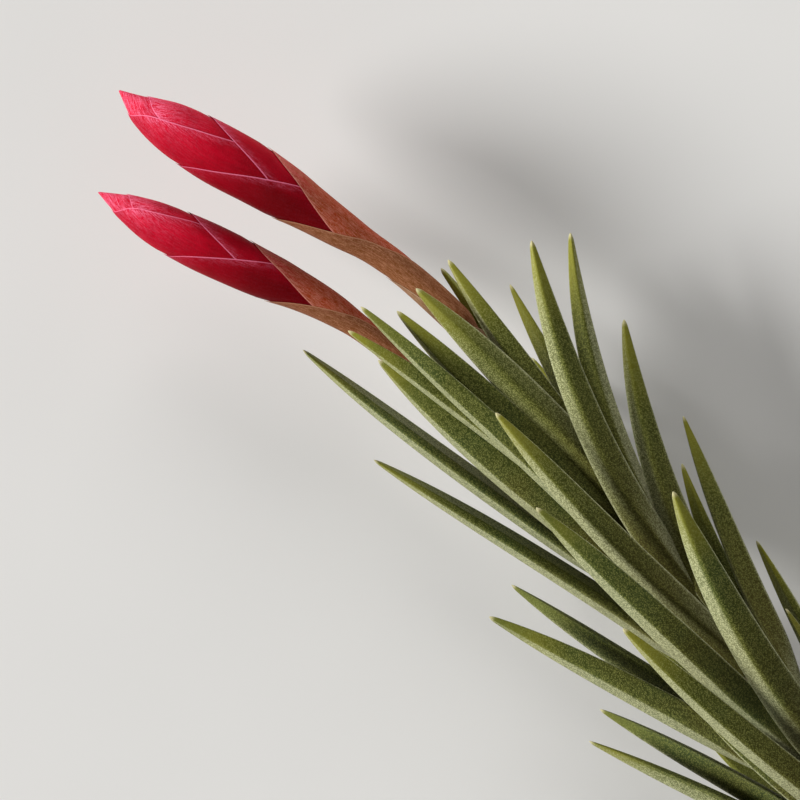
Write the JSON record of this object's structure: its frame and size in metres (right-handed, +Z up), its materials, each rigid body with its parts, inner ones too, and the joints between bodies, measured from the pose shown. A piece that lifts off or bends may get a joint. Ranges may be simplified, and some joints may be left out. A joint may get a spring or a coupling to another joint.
{
  "type": "cut flowering air plant stem",
  "caption": "Cut tillandsia stem lying on its side: thick keeled grey-green leaves all round a short stem, and closed crimson flower spikes in overlapping bracts.",
  "frame": {"origin": "middle of the footprint of the lying plant, on the surface it lies on", "axes": "+X along the stem towards the flowers, +Z up from the surface, +Y towards the side that the lower spike leans to"},
  "size_m": [0.1746, 0.0452, 0.0351],
  "materials": {
    "leaf": "matte, finely speckled with silvery scales",
    "stem": "matte, fibrous",
    "scape": "matte",
    "scape_bract": "satin, thin and papery at the edges",
    "flower_bract": "satin, with faint veins and pale edges"
  },
  "bodies": {
    "root": {"stem": "stem", "upper_scape": "scape", "upper_bract_1": "scape_bract", "upper_bract_2": "scape_bract", "upper_bract_3": "flower_bract", "upper_bract_4": "flower_bract", "upper_bract_5": "flower_bract", "upper_bract_6": "flower_bract", "upper_bract_7": "flower_bract", "upper_bud": "flower_bract", "lower_scape": "scape", "lower_bract_1": "scape_bract", "lower_bract_2": "scape_bract", "lower_bract_3": "flower_bract", "lower_bract_4": "flower_bract", "lower_bract_5": "flower_bract", "lower_bract_6": "flower_bract", "lower_bract_7": "flower_bract", "lower_bud": "flower_bract", "leaf_01": "leaf", "leaf_02": "leaf", "leaf_03": "leaf", "leaf_04": "leaf", "leaf_05": "leaf", "leaf_06": "leaf", "leaf_07": "leaf", "leaf_08": "leaf", "leaf_09": "leaf", "leaf_10": "leaf", "leaf_11": "leaf", "leaf_12": "leaf", "leaf_13": "leaf", "leaf_14": "leaf", "leaf_15": "leaf", "leaf_16": "leaf", "leaf_17": "leaf", "leaf_18": "leaf", "leaf_19": "leaf", "leaf_20": "leaf", "leaf_21": "leaf", "leaf_22": "leaf", "leaf_23": "leaf", "leaf_24": "leaf", "leaf_25": "leaf", "leaf_26": "leaf", "leaf_27": "leaf", "leaf_28": "leaf", "leaf_29": "leaf", "leaf_30": "leaf", "leaf_31": "leaf", "leaf_32": "leaf", "leaf_33": "leaf", "leaf_34": "leaf", "leaf_35": "leaf", "leaf_36": "leaf", "leaf_37": "leaf", "leaf_38": "leaf", "leaf_39": "leaf", "leaf_40": "leaf", "leaf_41": "leaf"}
  },
  "joints": []
}
